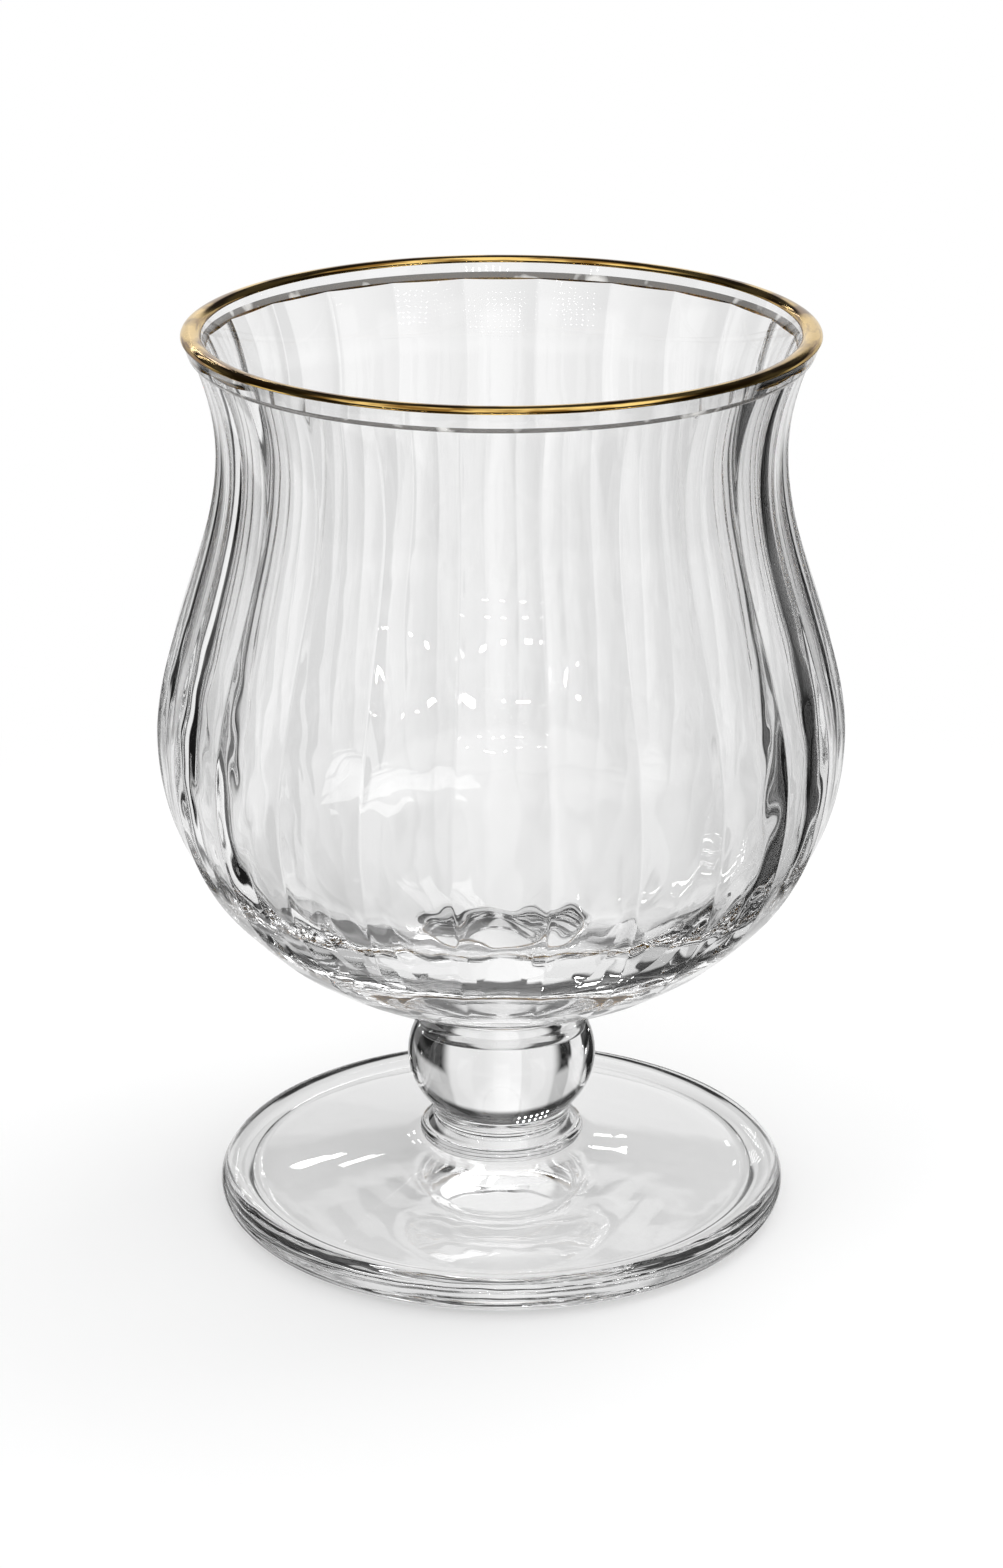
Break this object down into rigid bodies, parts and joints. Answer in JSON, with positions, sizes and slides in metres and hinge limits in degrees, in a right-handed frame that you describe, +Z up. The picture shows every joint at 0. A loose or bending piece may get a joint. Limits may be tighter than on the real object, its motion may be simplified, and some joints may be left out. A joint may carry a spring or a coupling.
{
  "type": "goblet",
  "caption": "Stemmed drinking goblet of clear glass: fluted tulip bowl with a gilded lip, on a ball-knopped stem and a round foot with a rolled edge.",
  "frame": {"origin": "middle of the foot's underside, in the plane of the ring that the goblet stands on", "axes": "+Z up along the goblet's axis, from the foot to the lip; a flute of the bowl faces -Y and another faces +X"},
  "size_m": [0.089, 0.089, 0.12],
  "materials": {
    "clear_glass": "colourless, clear, fire-polished",
    "fired_gold": "bright fired gold, mirror smooth"
  },
  "bodies": {
    "root": {"foot": "clear_glass", "foot_merese": "clear_glass", "stem_knop": "clear_glass", "bowl_merese": "clear_glass", "bowl": "clear_glass", "gilded_rim": "fired_gold"}
  },
  "joints": []
}
